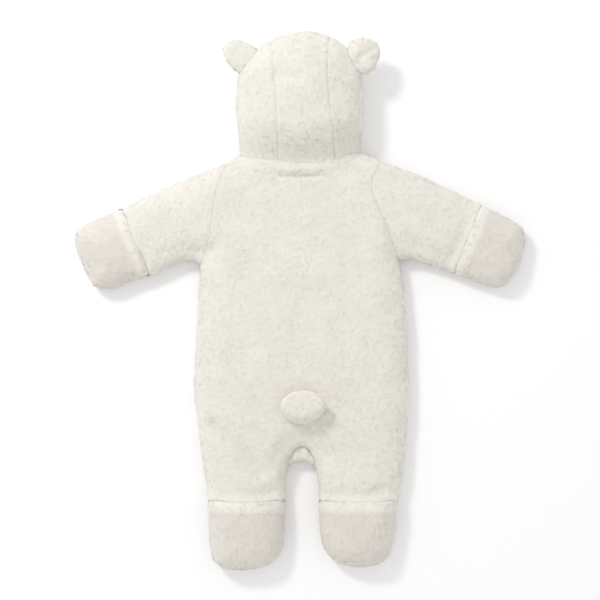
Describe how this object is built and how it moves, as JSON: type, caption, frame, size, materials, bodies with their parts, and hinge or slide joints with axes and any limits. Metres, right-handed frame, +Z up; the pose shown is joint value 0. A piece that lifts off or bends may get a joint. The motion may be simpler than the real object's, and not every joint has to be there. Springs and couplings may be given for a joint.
{
  "type": "baby snowsuit",
  "caption": "One-piece baby snowsuit of thick pile fleece with padded hood, small ears, tail knob, fold-over mitts and booties and a front zip, laid face down.",
  "frame": {"origin": "middle of the garment's plan box, on the surface it lies on", "axes": "+Z up, out of the garment's back; +Y from the booties to the top of the hood; +X to the right as seen from above"},
  "size_m": [0.585, 0.6942, 0.078],
  "materials": {
    "fleece": "thick curly pile",
    "fleece_cover": "thick curly pile",
    "zip_tape": "woven tape",
    "zip_metal": "dull metal"
  },
  "bodies": {
    "suit": {"back_panel": "fleece", "front_left": "fleece", "front_right": "fleece", "sleeve_left": "fleece", "sleeve_right": "fleece", "hood_centre": "fleece", "hood_side_left": "fleece", "hood_side_right": "fleece", "ear_left": "fleece", "ear_right": "fleece", "crotch_gusset": "fleece", "tail": "fleece", "mitt_left": "fleece_cover", "mitt_right": "fleece_cover", "bootie_left": "fleece_cover", "bootie_right": "fleece_cover", "zip_tape": "zip_tape", "zip_slider": "zip_metal"},
    "pull": {"zip_pull": "zip_metal"}
  },
  "joints": [
    {"name": "pull_swing", "type": "hinge", "parent": "suit", "child": "pull", "pos_m": [0.00151, 0.15879, 0.0021], "axis": [1, 0, 0], "range_deg": [0, 180]}
  ]
}
